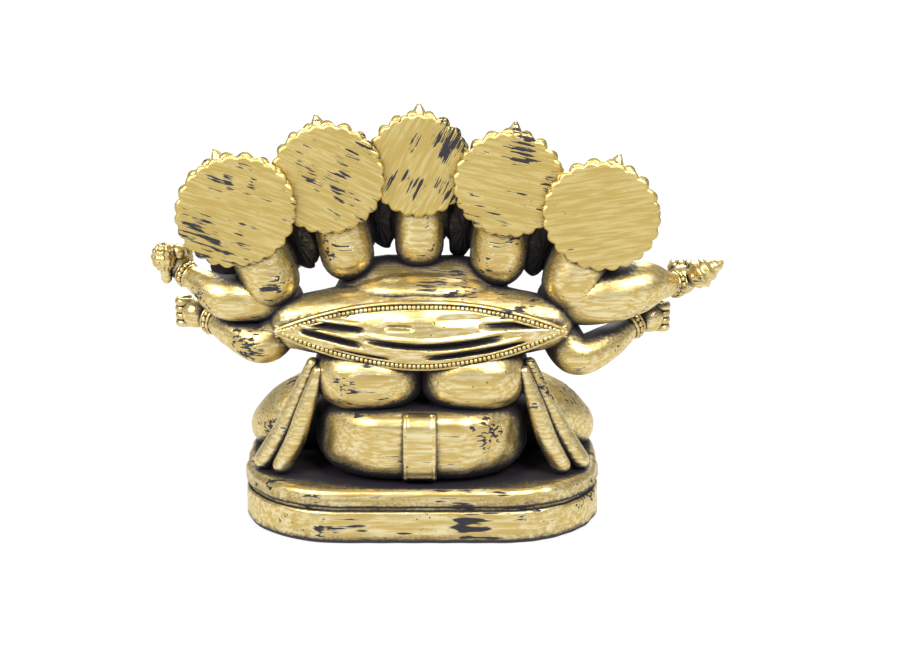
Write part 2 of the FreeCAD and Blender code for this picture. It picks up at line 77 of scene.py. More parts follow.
@dataclass
class Surface:
    """Closed skin: points in millimetres, and its faces as point numbers."""

    points: np.ndarray
    quads: np.ndarray
    triangles: np.ndarray

    def moved(self, turn: np.ndarray, offset: np.ndarray) -> "Surface":
        """The same skin turned by a 3 by 3 matrix and shifted."""
        return Surface(self.points @ turn.T + offset, self.quads, self.triangles)


def merged(surfaces: list[Surface]) -> Surface:
    """Several skins as one, with the point numbers of each shifted past those before it.

    Args:
        surfaces: The skins to join.

    Returns:
        One skin that holds them all.
    """
    starts = np.cumsum([0] + [len(s.points) for s in surfaces[:-1]])
    return Surface(
        np.vstack([s.points for s in surfaces]),
        np.vstack([s.quads + start for s, start in zip(surfaces, starts)]),
        np.vstack([s.triangles + start for s, start in zip(surfaces, starts)]),
    )


def skin(rows: np.ndarray, wobble: float = 0.008, spacing: float = 6.0) -> Surface:
    """Closed skin over rings of points, with a pole in the middle of the first and last ring.

    Each ring is swollen about its own middle by a product of two slow sine waves of the place, which gives
    the slightly uneven surface of hand-made wax.

    Args:
        rows: Array of rings, points round a ring, and x, y, z.
        wobble: Largest swelling, as a share of the distance from the ring's middle.
        spacing: Length of the waves in millimetres.

    Returns:
        The skin, with its faces pointing outwards.
    """
    middle = rows.mean(axis=1, keepdims=True)
    wave = 2 * np.pi / spacing
    x, y, z = (rows[..., k] for k in range(3))
    swell = np.sin(wave * x + 1.1 * y) * np.sin(wave * z + 0.7 * x)
    rows = middle + (rows - middle) * (1 + wobble * swell[..., None])
    count, around = rows.shape[:2]
    poles = count * around
    points = np.vstack([rows.reshape(-1, 3), rows[0].mean(0), rows[-1].mean(0)])
    index = np.arange(poles).reshape(count, around)
    ahead = np.roll(index, -1, axis=1)
    quads = np.stack([index[:-1], ahead[:-1], ahead[1:], index[1:]], axis=-1).reshape(-1, 4)
    first = np.stack([ahead[0], index[0], np.full(around, poles)], axis=-1)
    last = np.stack([index[-1], ahead[-1], np.full(around, poles + 1)], axis=-1)
    triangles = np.vstack([first, last])
    halves = np.vstack([quads[:, :3], quads[:, [0, 2, 3]], triangles])
    a, b, c = (points[halves[:, k]] - points.mean(0) for k in range(3))
    if np.einsum("ij,ij->", a, np.cross(b, c)) < 0:
        quads, triangles = quads[:, ::-1], triangles[:, ::-1]
    return Surface(points, quads, triangles)


def unit(vectors: np.ndarray) -> np.ndarray:
    """Vectors scaled to length one."""
    return vectors / np.linalg.norm(vectors, axis=-1, keepdims=True)


def circle(count: int) -> np.ndarray:
    """Angles once round a circle, in radians."""
    return np.linspace(0, 2 * np.pi, count, endpoint=False)


def power(values: np.ndarray, exponent: float) -> np.ndarray:
    """Power of the size of each value, with its sign kept."""
    return np.sign(values) * np.abs(values) ** exponent


def curve(stations: np.ndarray, samples: int) -> np.ndarray:
    """Smooth line through stations: cubic spans with the slope of their neighbours, spaced evenly by length.

    Args:
        stations: Rows of x, y, z and anything else that changes along the line, such as a radius.
        samples: Number of points on the line.

    Returns:
        The sampled rows.
    """
    knots = np.asarray(stations, float)
    at = np.concatenate(([0.0], np.cumsum(np.linalg.norm(np.diff(knots[:, :3], axis=0), axis=1))))
    slope = np.gradient(knots, at, axis=0)
    where = np.linspace(0, at[-1], samples)
    i = np.clip(np.searchsorted(at, where, side="right") - 1, 0, len(at) - 2)
    gap = (at[i + 1] - at[i])[:, None]
    s = (where - at[i])[:, None] / gap
    starts = (1 + 2 * s) * (1 - s) ** 2 * knots[i] + s * (1 - s) ** 2 * gap * slope[i]
    return starts + s * s * (3 - 2 * s) * knots[i + 1] + s * s * (s - 1) * gap * slope[i + 1]


def tube(
    stations: list,
    samples: int = 44,
    around: int = 28,
    squash: tuple[float, float] = (1.0, 1.0),
    ripple: tuple[float, float] = (0.0, 1.0),
    guide: tuple[float, float, float] = (0.0, 1.0, 0.0),
) -> Surface:
    """Rounded limb: circles carried along a smooth line, with half a ball at each end.

    Args:
        stations: Rows of x, y, z and radius.
        samples: Circles along the line.
        around: Points on each circle.
        squash: Scale across and along the guide.
        ripple: Share of the radius and length of a sine wave along the limb, for rings.
        guide: Direction that the circles are lined up with; the limb may not run along it.

    Returns:
        The limb.
    """
    path = curve(stations, samples)
    spine, radius = path[:, :3], path[:, 3]
    run = unit(np.gradient(spine, axis=0))
    length = np.linspace(0, 1, samples) * np.linalg.norm(np.diff(spine, axis=0), axis=1).sum()
    radius = radius * (1 + ripple[0] * np.sin(2 * np.pi * length / ripple[1]))
    dome = np.radians(np.linspace(82, 14, 6))
    centres = np.vstack([
        spine[0] - run[0] * (radius[0] * np.sin(dome))[:, None],
        spine,
        spine[-1] + run[-1] * (radius[-1] * np.sin(dome[::-1]))[:, None],
    ])
    radii = np.concatenate([radius[0] * np.cos(dome), radius, radius[-1] * np.cos(dome[::-1])])
    runs = np.vstack([np.repeat(run[:1], len(dome), 0), run, np.repeat(run[-1:], len(dome), 0)])
    across = unit(np.cross(runs, np.asarray(guide, float)))
    along = np.cross(across, runs)
    turn = circle(around)[None, :, None]
    rings = squash[0] * np.cos(turn) * across[:, None] + squash[1] * np.sin(turn) * along[:, None]
    return skin(centres[:, None] + radii[:, None, None] * rings)


def ball(centre: tuple, radii: tuple, square: float = 1.0, rows: int = 26, around: int = 40) -> Surface:
    """Ball or rounded block: sines and cosines of latitude and longitude; a power below one squares them."""
    rise = np.linspace(-0.5, 0.5, rows + 2)[1:-1, None] * np.pi
    turn = circle(around)[None, :]
    level = power(np.cos(rise), square)
    offsets = np.stack(np.broadcast_arrays(
        level * power(np.cos(turn), square), level * power(np.sin(turn), square), power(np.sin(rise), square)
    ), axis=-1)
    return skin(np.asarray(centre, float) + offsets * np.asarray(radii, float))


def beads(centres: np.ndarray, radius: float) -> Surface:
    """One small ball at each centre: the same ball's points added to every centre at once."""
    one = ball((0, 0, 0), (radius,) * 3, rows=5, around=8)
    count, size = len(centres), len(one.points)
    shift = (np.arange(count) * size)[:, None, None]
    return Surface(
        (np.asarray(centres)[:, None] + one.points).reshape(-1, 3),
        (one.quads[None] + shift).reshape(-1, 4),
        (one.triangles[None] + shift).reshape(-1, 3),
    )


def turned(profile: np.ndarray, around: int = 48, lobes: int = 0, depth: float = 0.0) -> Surface:
    """Shape turned about Z: a profile of radius and height carried round; lobes are a cosine of the turn."""
    turn = circle(around)[None, :]
    radius = profile[:, :1] * (1 + depth * np.cos(lobes * turn))
    height = np.broadcast_to(profile[:, 1:2], radius.shape)
    return skin(np.stack([radius * np.cos(turn), radius * np.sin(turn), height], axis=-1), 0.0)


def ring(centre: np.ndarray, axis: np.ndarray, radius: float, count: int) -> np.ndarray:
    """Points evenly round a circle square to an axis."""
    axis = unit(np.asarray(axis, float))
    across = unit(np.cross(axis, (0.0, 0.3, 1.0)))
    along = np.cross(axis, across)
    turn = circle(count)[:, None]
    return np.asarray(centre, float) + radius * (np.cos(turn) * across + np.sin(turn) * along)


def outline(half_x: float, half_y: float, corner: float, around: int) -> np.ndarray:
    """Rectangle with quarter-circle corners, its points spaced evenly along its length."""
    turn = circle(96) + np.pi / 96
    x = np.sign(np.cos(turn)) * (half_x - corner) + corner * np.cos(turn)
    y = np.sign(np.sin(turn)) * (half_y - corner) + corner * np.sin(turn)
    points = np.column_stack([np.append(x, x[0]), np.append(y, y[0])])
    at = np.concatenate(([0.0], np.cumsum(np.linalg.norm(np.diff(points, axis=0), axis=1))))
    where = np.linspace(0, at[-1], around, endpoint=False)
    return np.column_stack([np.interp(where, at, points[:, 0]), np.interp(where, at, points[:, 1])])


@dataclass
class Slab:
    """Upright block over a rounded rectangle, with quarter-round lower and upper edges."""

    half_x: float
    half_y: float
    corner: float
    bottom: float
    top: float
    low_edge: float
    high_edge: float
    middle_y: float = 0.0
    around: int = 200

    def inset(self, level: np.ndarray) -> np.ndarray:
        """How far the wall stands in from its widest at each level: a quarter circle at either edge."""
        low = np.clip(1 - (level - self.bottom) / self.low_edge, 0, 1)
        high = np.clip(1 - (self.top - level) / self.high_edge, 0, 1)
        return self.low_edge * (1 - np.sqrt(1 - low**2)) + self.high_edge * (1 - np.sqrt(1 - high**2))

    def surface(self, wobble: float = 0.004) -> Surface:
        """Outlines stacked from the bottom to the top, closed by flats."""
        quarter = 1 - np.cos(np.radians(np.linspace(0, 90, 8)))
        levels = np.concatenate([
            self.bottom + self.low_edge * quarter,
            np.linspace(self.bottom + self.low_edge, self.top - self.high_edge, 6)[1:-1],
            self.top - self.high_edge * quarter[::-1],
        ])
        insets = self.inset(levels)
        flat = 0.9 * min(self.half_x, self.half_y, self.corner)
        shares = (0.95, 0.5)
        insets = np.concatenate([[flat * s for s in shares], insets, [flat * s for s in shares[::-1]]])
        levels = np.concatenate([[self.bottom] * 2, levels, [self.top] * 2])
        rows = [
            np.column_stack([
                outline(self.half_x - i, self.half_y - i, max(self.corner - i, 0.3), self.around),
                np.full(self.around, z),
            ])
            for i, z in zip(insets, levels)
        ]
        return skin(np.stack(rows) + (0.0, self.middle_y, 0.0), wobble, 9.0)


def add_node(
    tree: bpy.types.NodeTree, kind: str, settings: dict, links: dict | None = None
) -> bpy.types.Node:
    """Adds a node, sets it up and links its inputs.

    Args:
        tree: The tree that the node goes into.
        kind: Node type.
        settings: Values by property name, or by input name or number.
        links: Output sockets by the name or number of the input that they feed.

    Returns:
        The node.
    """
    node = tree.nodes.new(kind)
    for key, value in settings.items():
        if isinstance(key, str) and hasattr(node, key):
            setattr(node, key, value)
        else:
            node.inputs[key].default_value = value
    for key, source in (links or {}).items():
        tree.links.new(source, node.inputs[key])
    return node


def linear(code: str) -> tuple[float, float, float, float]:
    """An sRGB hex colour as linear red, green, blue and alpha."""
    values = [int(code[i:i + 2], 16) / 255 for i in (1, 3, 5)]
    parts = [v / 12.92 if v <= 0.04045 else ((v + 0.055) / 1.055) ** 2.4 for v in values]
    return parts[0], parts[1], parts[2], 1.0


@dataclass(frozen=True)
class RubbedBrass:
    """Cast brass, toned near-black and then rubbed back to bright metal on everything that stands proud.

    Sheltered places keep the dark toning; where the crevice reach is long, as on the seat, that darkening is
    partly painted shade under the body. Dry strokes of the toning are left along the rubbing direction, and
    small pits in the casting hold specks of it. Lengths are in millimetres.
    """

    name: str
    metal: str = "#d0b56e"
    bright: str = "#ecddab"
    toning: str = "#1f1b22"
    crevice: float = 5.5
    crevice_open: float = 0.70
    stroke_length: float = 6.0
    stroke_width: float = 0.45
    stroke_angles: tuple[float, float, float] = (0.0, 0.0, 0.0)
    stroke_cover: float = 0.36
    patch: float = 7.0
    speck: float = 0.6
    speck_cover: float = 0.10
    worn_roughness: float = 0.34
    toned_roughness: float = 0.62

    def _noise(
        self, tree: bpy.types.NodeTree, place: bpy.types.NodeSocket, size: tuple, detail: float
    ) -> bpy.types.NodeSocket:
        """Noise whose features are about size millimetres along x, y and z, after the rubbing turn."""
        turn = tuple(math.radians(a) for a in self.stroke_angles)
        turned_place = add_node(tree, "ShaderNodeMapping", {"vector_type": "TEXTURE", "Rotation": turn},
                                {"Vector": place})
        scaled = add_node(tree, "ShaderNodeMapping", {"Scale": tuple(1 / (s * MM) for s in size)},
                          {"Vector": turned_place.outputs[0]})
        noise = add_node(tree, "ShaderNodeTexNoise", {"Scale": 1.0, "Detail": detail, "Roughness": 0.6},
                         {"Vector": scaled.outputs[0]})
        return noise.outputs[0]

    def _math(
        self,
        tree: bpy.types.NodeTree,
        operation: str,
        first: bpy.types.NodeSocket,
        second: bpy.types.NodeSocket | float,
    ) -> bpy.types.NodeSocket:
        """Result of a sum, product or larger-of-two; a number goes on the node's own input."""
        settings = {"operation": operation}
        links = {}
        for place, value in enumerate((first, second)):
            (links if isinstance(value, bpy.types.NodeSocket) else settings)[place] = value
        return add_node(tree, "ShaderNodeMath", settings, links).outputs[0]

    def _ramp(
        self,
        tree: bpy.types.NodeTree,
        value: bpy.types.NodeSocket,
        low: float,
        high: float,
        start: float,
        end: float,
    ) -> bpy.types.NodeSocket:
        """Value between low and high turned smoothly into a number between start and end."""
        settings = {"interpolation_type": "SMOOTHSTEP", "From Min": low, "From Max": high,
                    "To Min": start, "To Max": end}
        return add_node(tree, "ShaderNodeMapRange", settings, {"Value": value}).outputs[0]

    def material(self) -> bpy.types.Material:
        """Builds the material, or returns the one already made under this name."""
        if self.name in bpy.data.materials:
            return bpy.data.materials[self.name]
        made = bpy.data.materials.new(self.name)
        made.use_nodes = True
        tree = made.node_tree
        tree.nodes.clear()
        place = add_node(tree, "ShaderNodeTexCoord", {}).outputs["Object"]
        strokes = self._noise(tree, place, (self.stroke_length, self.stroke_width, self.stroke_width), 3.0)
        patches = self._noise(tree, place, (self.patch,) * 3, 2.0)
        grain = self._noise(tree, place, (0.5,) * 3, 4.0)
        # Ambient occlusion within the crevice reach darkens sheltered places: toning in the hollows, and with a
        # long reach, as on the seat, painted shade as well.
        shelter = add_node(tree, "ShaderNodeAmbientOcclusion", {"samples": 12, "Distance": self.crevice * MM})
        ragged = self._math(tree, "MULTIPLY_ADD", grain, 0.34)
        tree.links.new(shelter.outputs["AO"], ragged.node.inputs[2])
        stroked = self._math(tree, "MULTIPLY_ADD", strokes, 0.16)
        tree.links.new(ragged, stroked.node.inputs[2])
        toning_and_painted_shade = self._ramp(tree, stroked, self.crevice_open + 0.14, self.crevice_open + 0.36, 1.0, 0.0)
        both = self._math(tree, "MULTIPLY", strokes, patches)
        edge = 0.40 - 0.22 * self.stroke_cover
        dry = self._ramp(tree, both, edge, edge + 0.05, 0.0, 1.0)
        pit_scale = {"Scale": (1 / (self.speck * MM),) * 3}
        cells = add_node(tree, "ShaderNodeMapping", pit_scale, {"Vector": place})
        pits = add_node(tree, "ShaderNodeTexVoronoi", {"Scale": 1.0}, {"Vector": cells.outputs[0]})
        ragged_pits = self._math(tree, "ADD", pits.outputs["Distance"], grain)
        pitted = self._math(tree, "ADD", ragged_pits, self._math(tree, "MULTIPLY", patches, 1.4))
        specks = self._ramp(tree, pitted, 0.92 + self.speck_cover, 1.04 + self.speck_cover, 1.0, 0.0)
        # All the dark marks together: toning, dry strokes, pit specks, and on the seat painted shade.
        toned = self._math(tree, "MAXIMUM", toning_and_painted_shade, self._math(tree, "MAXIMUM", dry, specks))
        metals = {"data_type": "RGBA", 6: linear(self.metal), 7: linear(self.bright)}
        tone = add_node(tree, "ShaderNodeMix", metals, {0: self._ramp(tree, strokes, 0.4, 0.65, 0.0, 1.0)})
        colour = add_node(tree, "ShaderNodeMix", {"data_type": "RGBA", 7: linear(self.toning)},
                          {0: toned, 6: tone.outputs[2]})
        height = self._math(tree, "SUBTRACT", grain, self._math(tree, "MULTIPLY", toned, 0.6))
        bump = add_node(tree, "ShaderNodeBump", {"Strength": 0.35, "Distance": 0.12 * MM}, {"Height": height})
        shader = add_node(
            tree, "ShaderNodeBsdfPrincipled", {},
            {
                "Base Color": colour.outputs[2],
                "Metallic": self._ramp(tree, toned, 0.0, 1.0, 1.0, 0.15),
                "Roughness": self._ramp(tree, toned, 0.0, 1.0, self.worn_roughness, self.toned_roughness),
                "Normal": bump.outputs[0],
            },
        )
        add_node(tree, "ShaderNodeOutputMaterial", {}, {"Surface": shader.outputs[0]})
        return made


BODY_BRASS = RubbedBrass("Rubbed cast brass, body")
CLOTH_BRASS = RubbedBrass("Rubbed cast brass, cloth", metal="#d2b872", bright="#efe2b4", crevice=2.2,
                          crevice_open=0.72, stroke_cover=0.24)
PLINTH_BRASS = RubbedBrass("Pitted cast brass, plinth", speck_cover=0.20, speck=0.6, stroke_length=8.0,
                           stroke_width=0.7, stroke_cover=0.42, crevice=3.0)
# The seat's long crevice reach darkens the top of the seat round the body: partly toning in the recess, partly
# painted shade under the body and drapes.
SEAT_BRASS_WITH_PAINTED_SHADE = RubbedBrass("Toned cast brass, seat", speck_cover=0.20, stroke_length=8.0, stroke_width=0.7,
                         stroke_cover=0.42, crevice=12.0, crevice_open=0.78)
ORNAMENT_BRASS = RubbedBrass("Rubbed cast brass, ornaments", crevice=1.6, crevice_open=0.66)


def add_piece(
    name: str, parts: list[Surface], finish: RubbedBrass, nodes: list[str]
) -> bpy.types.Object:
    """Makes one piece of the figure and puts it in place of its CAD nodes.

    Args:
        name: Name of the piece.
        parts: Skins that make it up, in millimetres.
        finish: Its metal finish.
        nodes: CAD nodes that it stands for.

    Returns:
        The object.
    """
    shape = merged(parts)
    name = name.replace(" ", "_")
    mesh = bpy.data.meshes.new(name)
    mesh.from_pydata((shape.points * MM).tolist(), [], shape.quads.tolist() + shape.triangles.tolist())
    mesh.polygons.foreach_set("use_smooth", [True] * len(mesh.polygons))
    mesh.materials.append(finish.material())
    piece = bpy.data.objects.new(name, mesh)
    bpy.context.scene.collection.objects.link(piece)
    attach(piece, "root")
    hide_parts(*nodes)
    LOG.info("%s: %d faces", name, len(mesh.polygons))
    return piece


def node_box(node: str) -> tuple[np.ndarray, np.ndarray]:
    """Lowest and highest corner of a CAD node, in millimetres."""
    low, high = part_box(node)
    return np.array(low) / MM, np.array(high) / MM


@dataclass
class Plinth:
    """Two-tier rounded plinth with a groove between the tiers."""

    corner: float = 15.0
    edge: float = 0.9
    seat_edge: float = 1.1
    groove: float = 0.6

    def build(self) -> None:
        """Foot tier with the neck of the groove, and the seat tier on it."""
        low, high = node_box("plinth_foot")
        seat_low, seat_high = node_box("plinth_seat")
        half_x, half_y = high[0], high[1]
        foot = Slab(half_x, half_y, self.corner, low[2], high[2] - 0.45, self.edge, 0.5, around=320)
        neck = Slab(half_x - self.groove, half_y - self.groove, self.corner - self.groove,
                    high[2] - 1.0, high[2] + 0.3, 0.1, 0.1)
        seat = Slab(half_x, half_y, self.corner, seat_low[2], seat_high[2], 0.6, self.seat_edge, around=320)
        add_piece("plinth foot", [foot.surface(), neck.surface()], PLINTH_BRASS, ["plinth_foot"])
        add_piece("plinth seat", [seat.surface()], SEAT_BRASS_WITH_PAINTED_SHADE, ["plinth_seat"])


@dataclass
class LowerBody:
    """Hips with the sash down their back, the belly, and the folds of cloth at the sides."""

    corner: float = 11.5
    low_edge: float = 4.4
    high_edge: float = 2.4
    sash_half: float = 2.5
    sash_middle: float = 0.2
    sash_proud: float = 0.75
    sash_rim: float = 0.3
    belly_radius: float = 11.3
    navel_depth: float = 0.7
    fold_radius: float = 1.6

    def hips_form(self) -> Slab:
        """The rounded block of the hips."""
        low, high = node_box("hips")
        return Slab(high[0], (high[1] - low[1]) / 2 + 2, self.corner, low[2], high[2], self.low_edge,
                    self.high_edge, middle_y=(high[1] + low[1]) / 2 - 2)

    def sash(self, form: Slab) -> Surface:
        """Strip over the back of the hips: a cross-section with raised edges carried up the hips' profile."""
        levels = np.linspace(form.bottom + 0.15, form.top - 0.1, 40)
        back = form.middle_y + form.half_y - form.inset(levels)
        across = np.linspace(-1, 1, 33)
        rim = self.sash_proud + self.sash_rim * np.exp(-(((np.abs(across) - 0.84) / 0.11) ** 2))
        rim[[0, -1]] = -0.4
        hem = self.sash_rim * np.exp(-(((levels - form.bottom - 1.2) / 0.3) ** 2))
        outer_x = self.sash_middle + self.sash_half * across
        inner_x = outer_x[::-4]
        x = np.concatenate([outer_x, inner_x])
        proud = np.concatenate([rim, np.full(len(inner_x), -1.2)])
        lift = np.concatenate([np.ones(len(outer_x)), np.zeros(len(inner_x))])
        y = back[:, None] + proud[None] + hem[:, None] * lift[None]
        rows = np.stack(np.broadcast_arrays(x[None], y, levels[:, None]), axis=-1)
        return skin(rows, 0.0)

    def belly(self) -> Surface:
        """Ball with a navel: a round dent, deepest on the middle line, pressed into its front."""
        low, high = node_box("belly")
        centre = np.array([0.0, low[1] + self.belly_radius, (low[2] + high[2]) / 2])
        shape = ball(tuple(centre), (self.belly_radius,) * 3, rows=60, around=90)
        off = shape.points - (centre + (0.0, -self.belly_radius, -1.5))
        shape.points[:, 1] += self.navel_depth * np.exp(-((off**2).sum(axis=1)) / 0.9)
        return shape

    def drape(self, side: Side) -> list[Surface]:
        """Two ridges of cloth that fall from the waist to the seat, with a thin one beside the hips."""
        s = side.value
        outer = [(15.8, 11.2, 25.2, 1.0), (17.8, 10.4, 20.0, 1.5), (20.6, 9.2, 14.0, 1.7),
                 (23.4, 8.6, 9.7, 1.5)]
        inner = [(15.0, 12.6, 24.4, 0.9), (16.8, 12.4, 19.0, 1.3), (18.6, 11.8, 13.6, 1.5),
                 (20.6, 11.0, 9.6, 1.4)]
        web = [(16.0, 8.2, 22.6, 1.6), (18.6, 7.0, 16.0, 2.4), (21.4, 6.6, 10.6, 2.0)]
        return [tube([(s * x, y, z, r) for x, y, z, r in line], squash=(1.0, 0.8), guide=(0, 0, 1))
                if line is web else tube([(s * x, y, z, r) for x, y, z, r in line])
                for line in (outer, inner, web)]

    def build(self) -> None:
        """Adds the hips, sash, belly and drapes."""
        form = self.hips_form()
        add_piece("hips", [form.surface(0.008)], BODY_BRASS, ["hips"])
        add_piece("sash", [self.sash(form)], CLOTH_BRASS, ["sash"])
        add_piece("belly", [self.belly()], BODY_BRASS, ["belly"])
        for side in Side:
            add_piece(f"drape {side.word}", self.drape(side), CLOTH_BRASS, [f"drape_{side.word}"])


@dataclass
class Torso:
    """Back lobes over the waist, the chest, and the yoke of the shoulders."""

    level: float = 30.5
    lobe_radii: tuple[float, float, float] = (8.3, 8.6, 5.6)
    shoulder_radius: float = 7.4
    slope_radius: float = 5.9
    tip_radius: float = 4.0
    shoulder_y: float = 7.4
    tip_x: float = 18.4

    def build(self) -> None:
        """Adds the torso and the shoulders."""
        lobes = [ball((s.value * 7.5, 8.0, 23.4), self.lobe_radii, 0.82, 40, 60) for s in Side]
        chest = tube([(-5.0, 3.5, self.level, 9.0), (0.0, 3.5, self.level, 9.0), (5.0, 3.5, self.level, 9.0)])
        nape = ball((0.0, 6.2, 35.4), (10.5, 6.4, 2.9), 0.9)
        add_piece("torso", [*lobes, chest, nape], BODY_BRASS, ["torso"])
        yoke = tube([
            (-self.tip_x, self.shoulder_y, self.level, self.tip_radius),
            (-9.0, self.shoulder_y, self.level, self.slope_radius),
            (0.0, self.shoulder_y, self.level, self.shoulder_radius),
            (9.0, self.shoulder_y, self.level, self.slope_radius),
            (self.tip_x, self.shoulder_y, self.level, self.tip_radius),
        ])
        add_piece("shoulders", [yoke], BODY_BRASS, ["shoulder_left", "shoulder_right"])


@dataclass(frozen=True)
class Fold:
    """Groove pressed into the shawl between two places on it, in millimetres."""

    start: tuple[float, float]
    end: tuple[float, float]
    sag: float = 0.0
    depth: float = 1.1
    width: float = 0.38

    def dent(self, x: np.ndarray, z: np.ndarray) -> np.ndarray:
        """Depth of the groove at each place: a bell across it that fades out at both ends."""
        t = (x - self.start[0]) / (self.end[0] - self.start[0])
        middle = self.start[1] + (self.end[1] - self.start[1]) * t - 4 * self.sag * t * (1 - t)
        fade = np.clip(1 - np.abs(2 * t - 1) ** 5, 0, 1)
        groove = np.exp(-(((z - middle) / self.width) ** 2))
        lip = 0.3 * np.exp(-(((z - middle - 2.2 * self.width) / self.width) ** 2))
        return self.depth * fade * (groove - lip)


@dataclass
class Shawl:
    """Shawl across the back: a lens-shaped cloth with long folds and a beaded border above and below."""

    level: float = 30.5
    half: float = 21.6
    rise: float = 5.1
    drop: float = 4.7
    middle_y: float = 7.4
    reach: float = 9.9
    taper: float = 4.9
    bead: float = 0.36
    folds: tuple[Fold, ...] = (
        Fold((15.9, 32.0), (7.9, 31.6)),
        Fold((17.8, 31.0), (8.2, 29.3)),
        Fold((8.7, 30.2), (-12.3, 30.5), 0.9),
        Fold((0.1, 27.6), (-15.5, 29.3), 0.2),
        Fold((-8.3, 32.1), (-21.0, 31.6)),
        Fold((5.3, 32.2), (0.9, 32.2), 0.0, 0.5),
        Fold((12.7, 28.3), (4.3, 27.2), 0.1, 0.6),
        Fold((-2.0, 33.2), (-16.5, 32.2), -0.3, 0.35, 0.6),
    )

    def back(self, x: np.ndarray, z: np.ndarray) -> np.ndarray:
        """How far back the cloth lies: a tapering drum about the shoulder line."""
        radius = self.reach - self.taper * (np.abs(x) / self.half) ** 1.4
        return self.middle_y + np.sqrt(np.maximum(radius**2 - (z - self.level) ** 2, 0.5))

    def edge(self, x: np.ndarray, above: bool) -> np.ndarray:
        """Height of the upper or lower edge: a parabola that meets the other at the tips."""
        arch = 1 - (x / self.half) ** 2
        return self.level + (self.rise if above else -self.drop) * arch

    def cloth(self) -> Surface:
        """The cloth, from edge to edge and tip to tip: puffed up between its edges, pressed in at the folds."""
        x = self.half * np.linspace(-0.99, 0.99, 240)[:, None]
        across = np.linspace(-1, 1, 90)[None]
        share = (across + 1) / 2
        z = self.edge(x, False) * (1 - share) + self.edge(x, True) * share
        y = self.back(x, z) + 0.55 * (1 - across**4)
        y = y - sum(fold.dent(x, z) for fold in self.folds)
        under_z = z[:, ::-6]
        under_y = self.back(x, under_z) - 1.4
        rows_x = np.broadcast_to(x, (len(x), z.shape[1] + under_z.shape[1]))
        return skin(np.stack([rows_x, np.hstack([y, under_y]), np.hstack([z, under_z])], axis=-1), 0.0)

    def border(self, above: bool) -> list[Surface]:
        """Two thin cords along an edge with a row of beads between them."""
        x = self.half * np.linspace(-0.97, 0.97, 40)
        step = -1.0 if above else 1.0
        parts = []
        for inset, radius in ((0.05, 0.30), (1.05, 0.22)):
            z = self.edge(x, above) + step * inset
            line = np.column_stack([x, self.back(x, z) + 0.15, z, np.full(len(x), radius)])
            parts.append(tube(line, 160, 10))
        row = self.half * np.linspace(-0.95, 0.95, 66)
        z = self.edge(row, above) + step * 0.55
        parts.append(beads(np.column_stack([row, self.back(row, z) + 0.35, z]), self.bead))
        return parts

    def build(self) -> None:
        """Adds the cloth and both borders."""
        add_piece("shawl", [self.cloth()], CLOTH_BRASS, ["shawl"])
        for word, above in (("upper", True), ("lower", False)):
            add_piece(f"shawl border {word}", self.border(above), ORNAMENT_BRASS,
                      [f"shawl_border_{word}"])


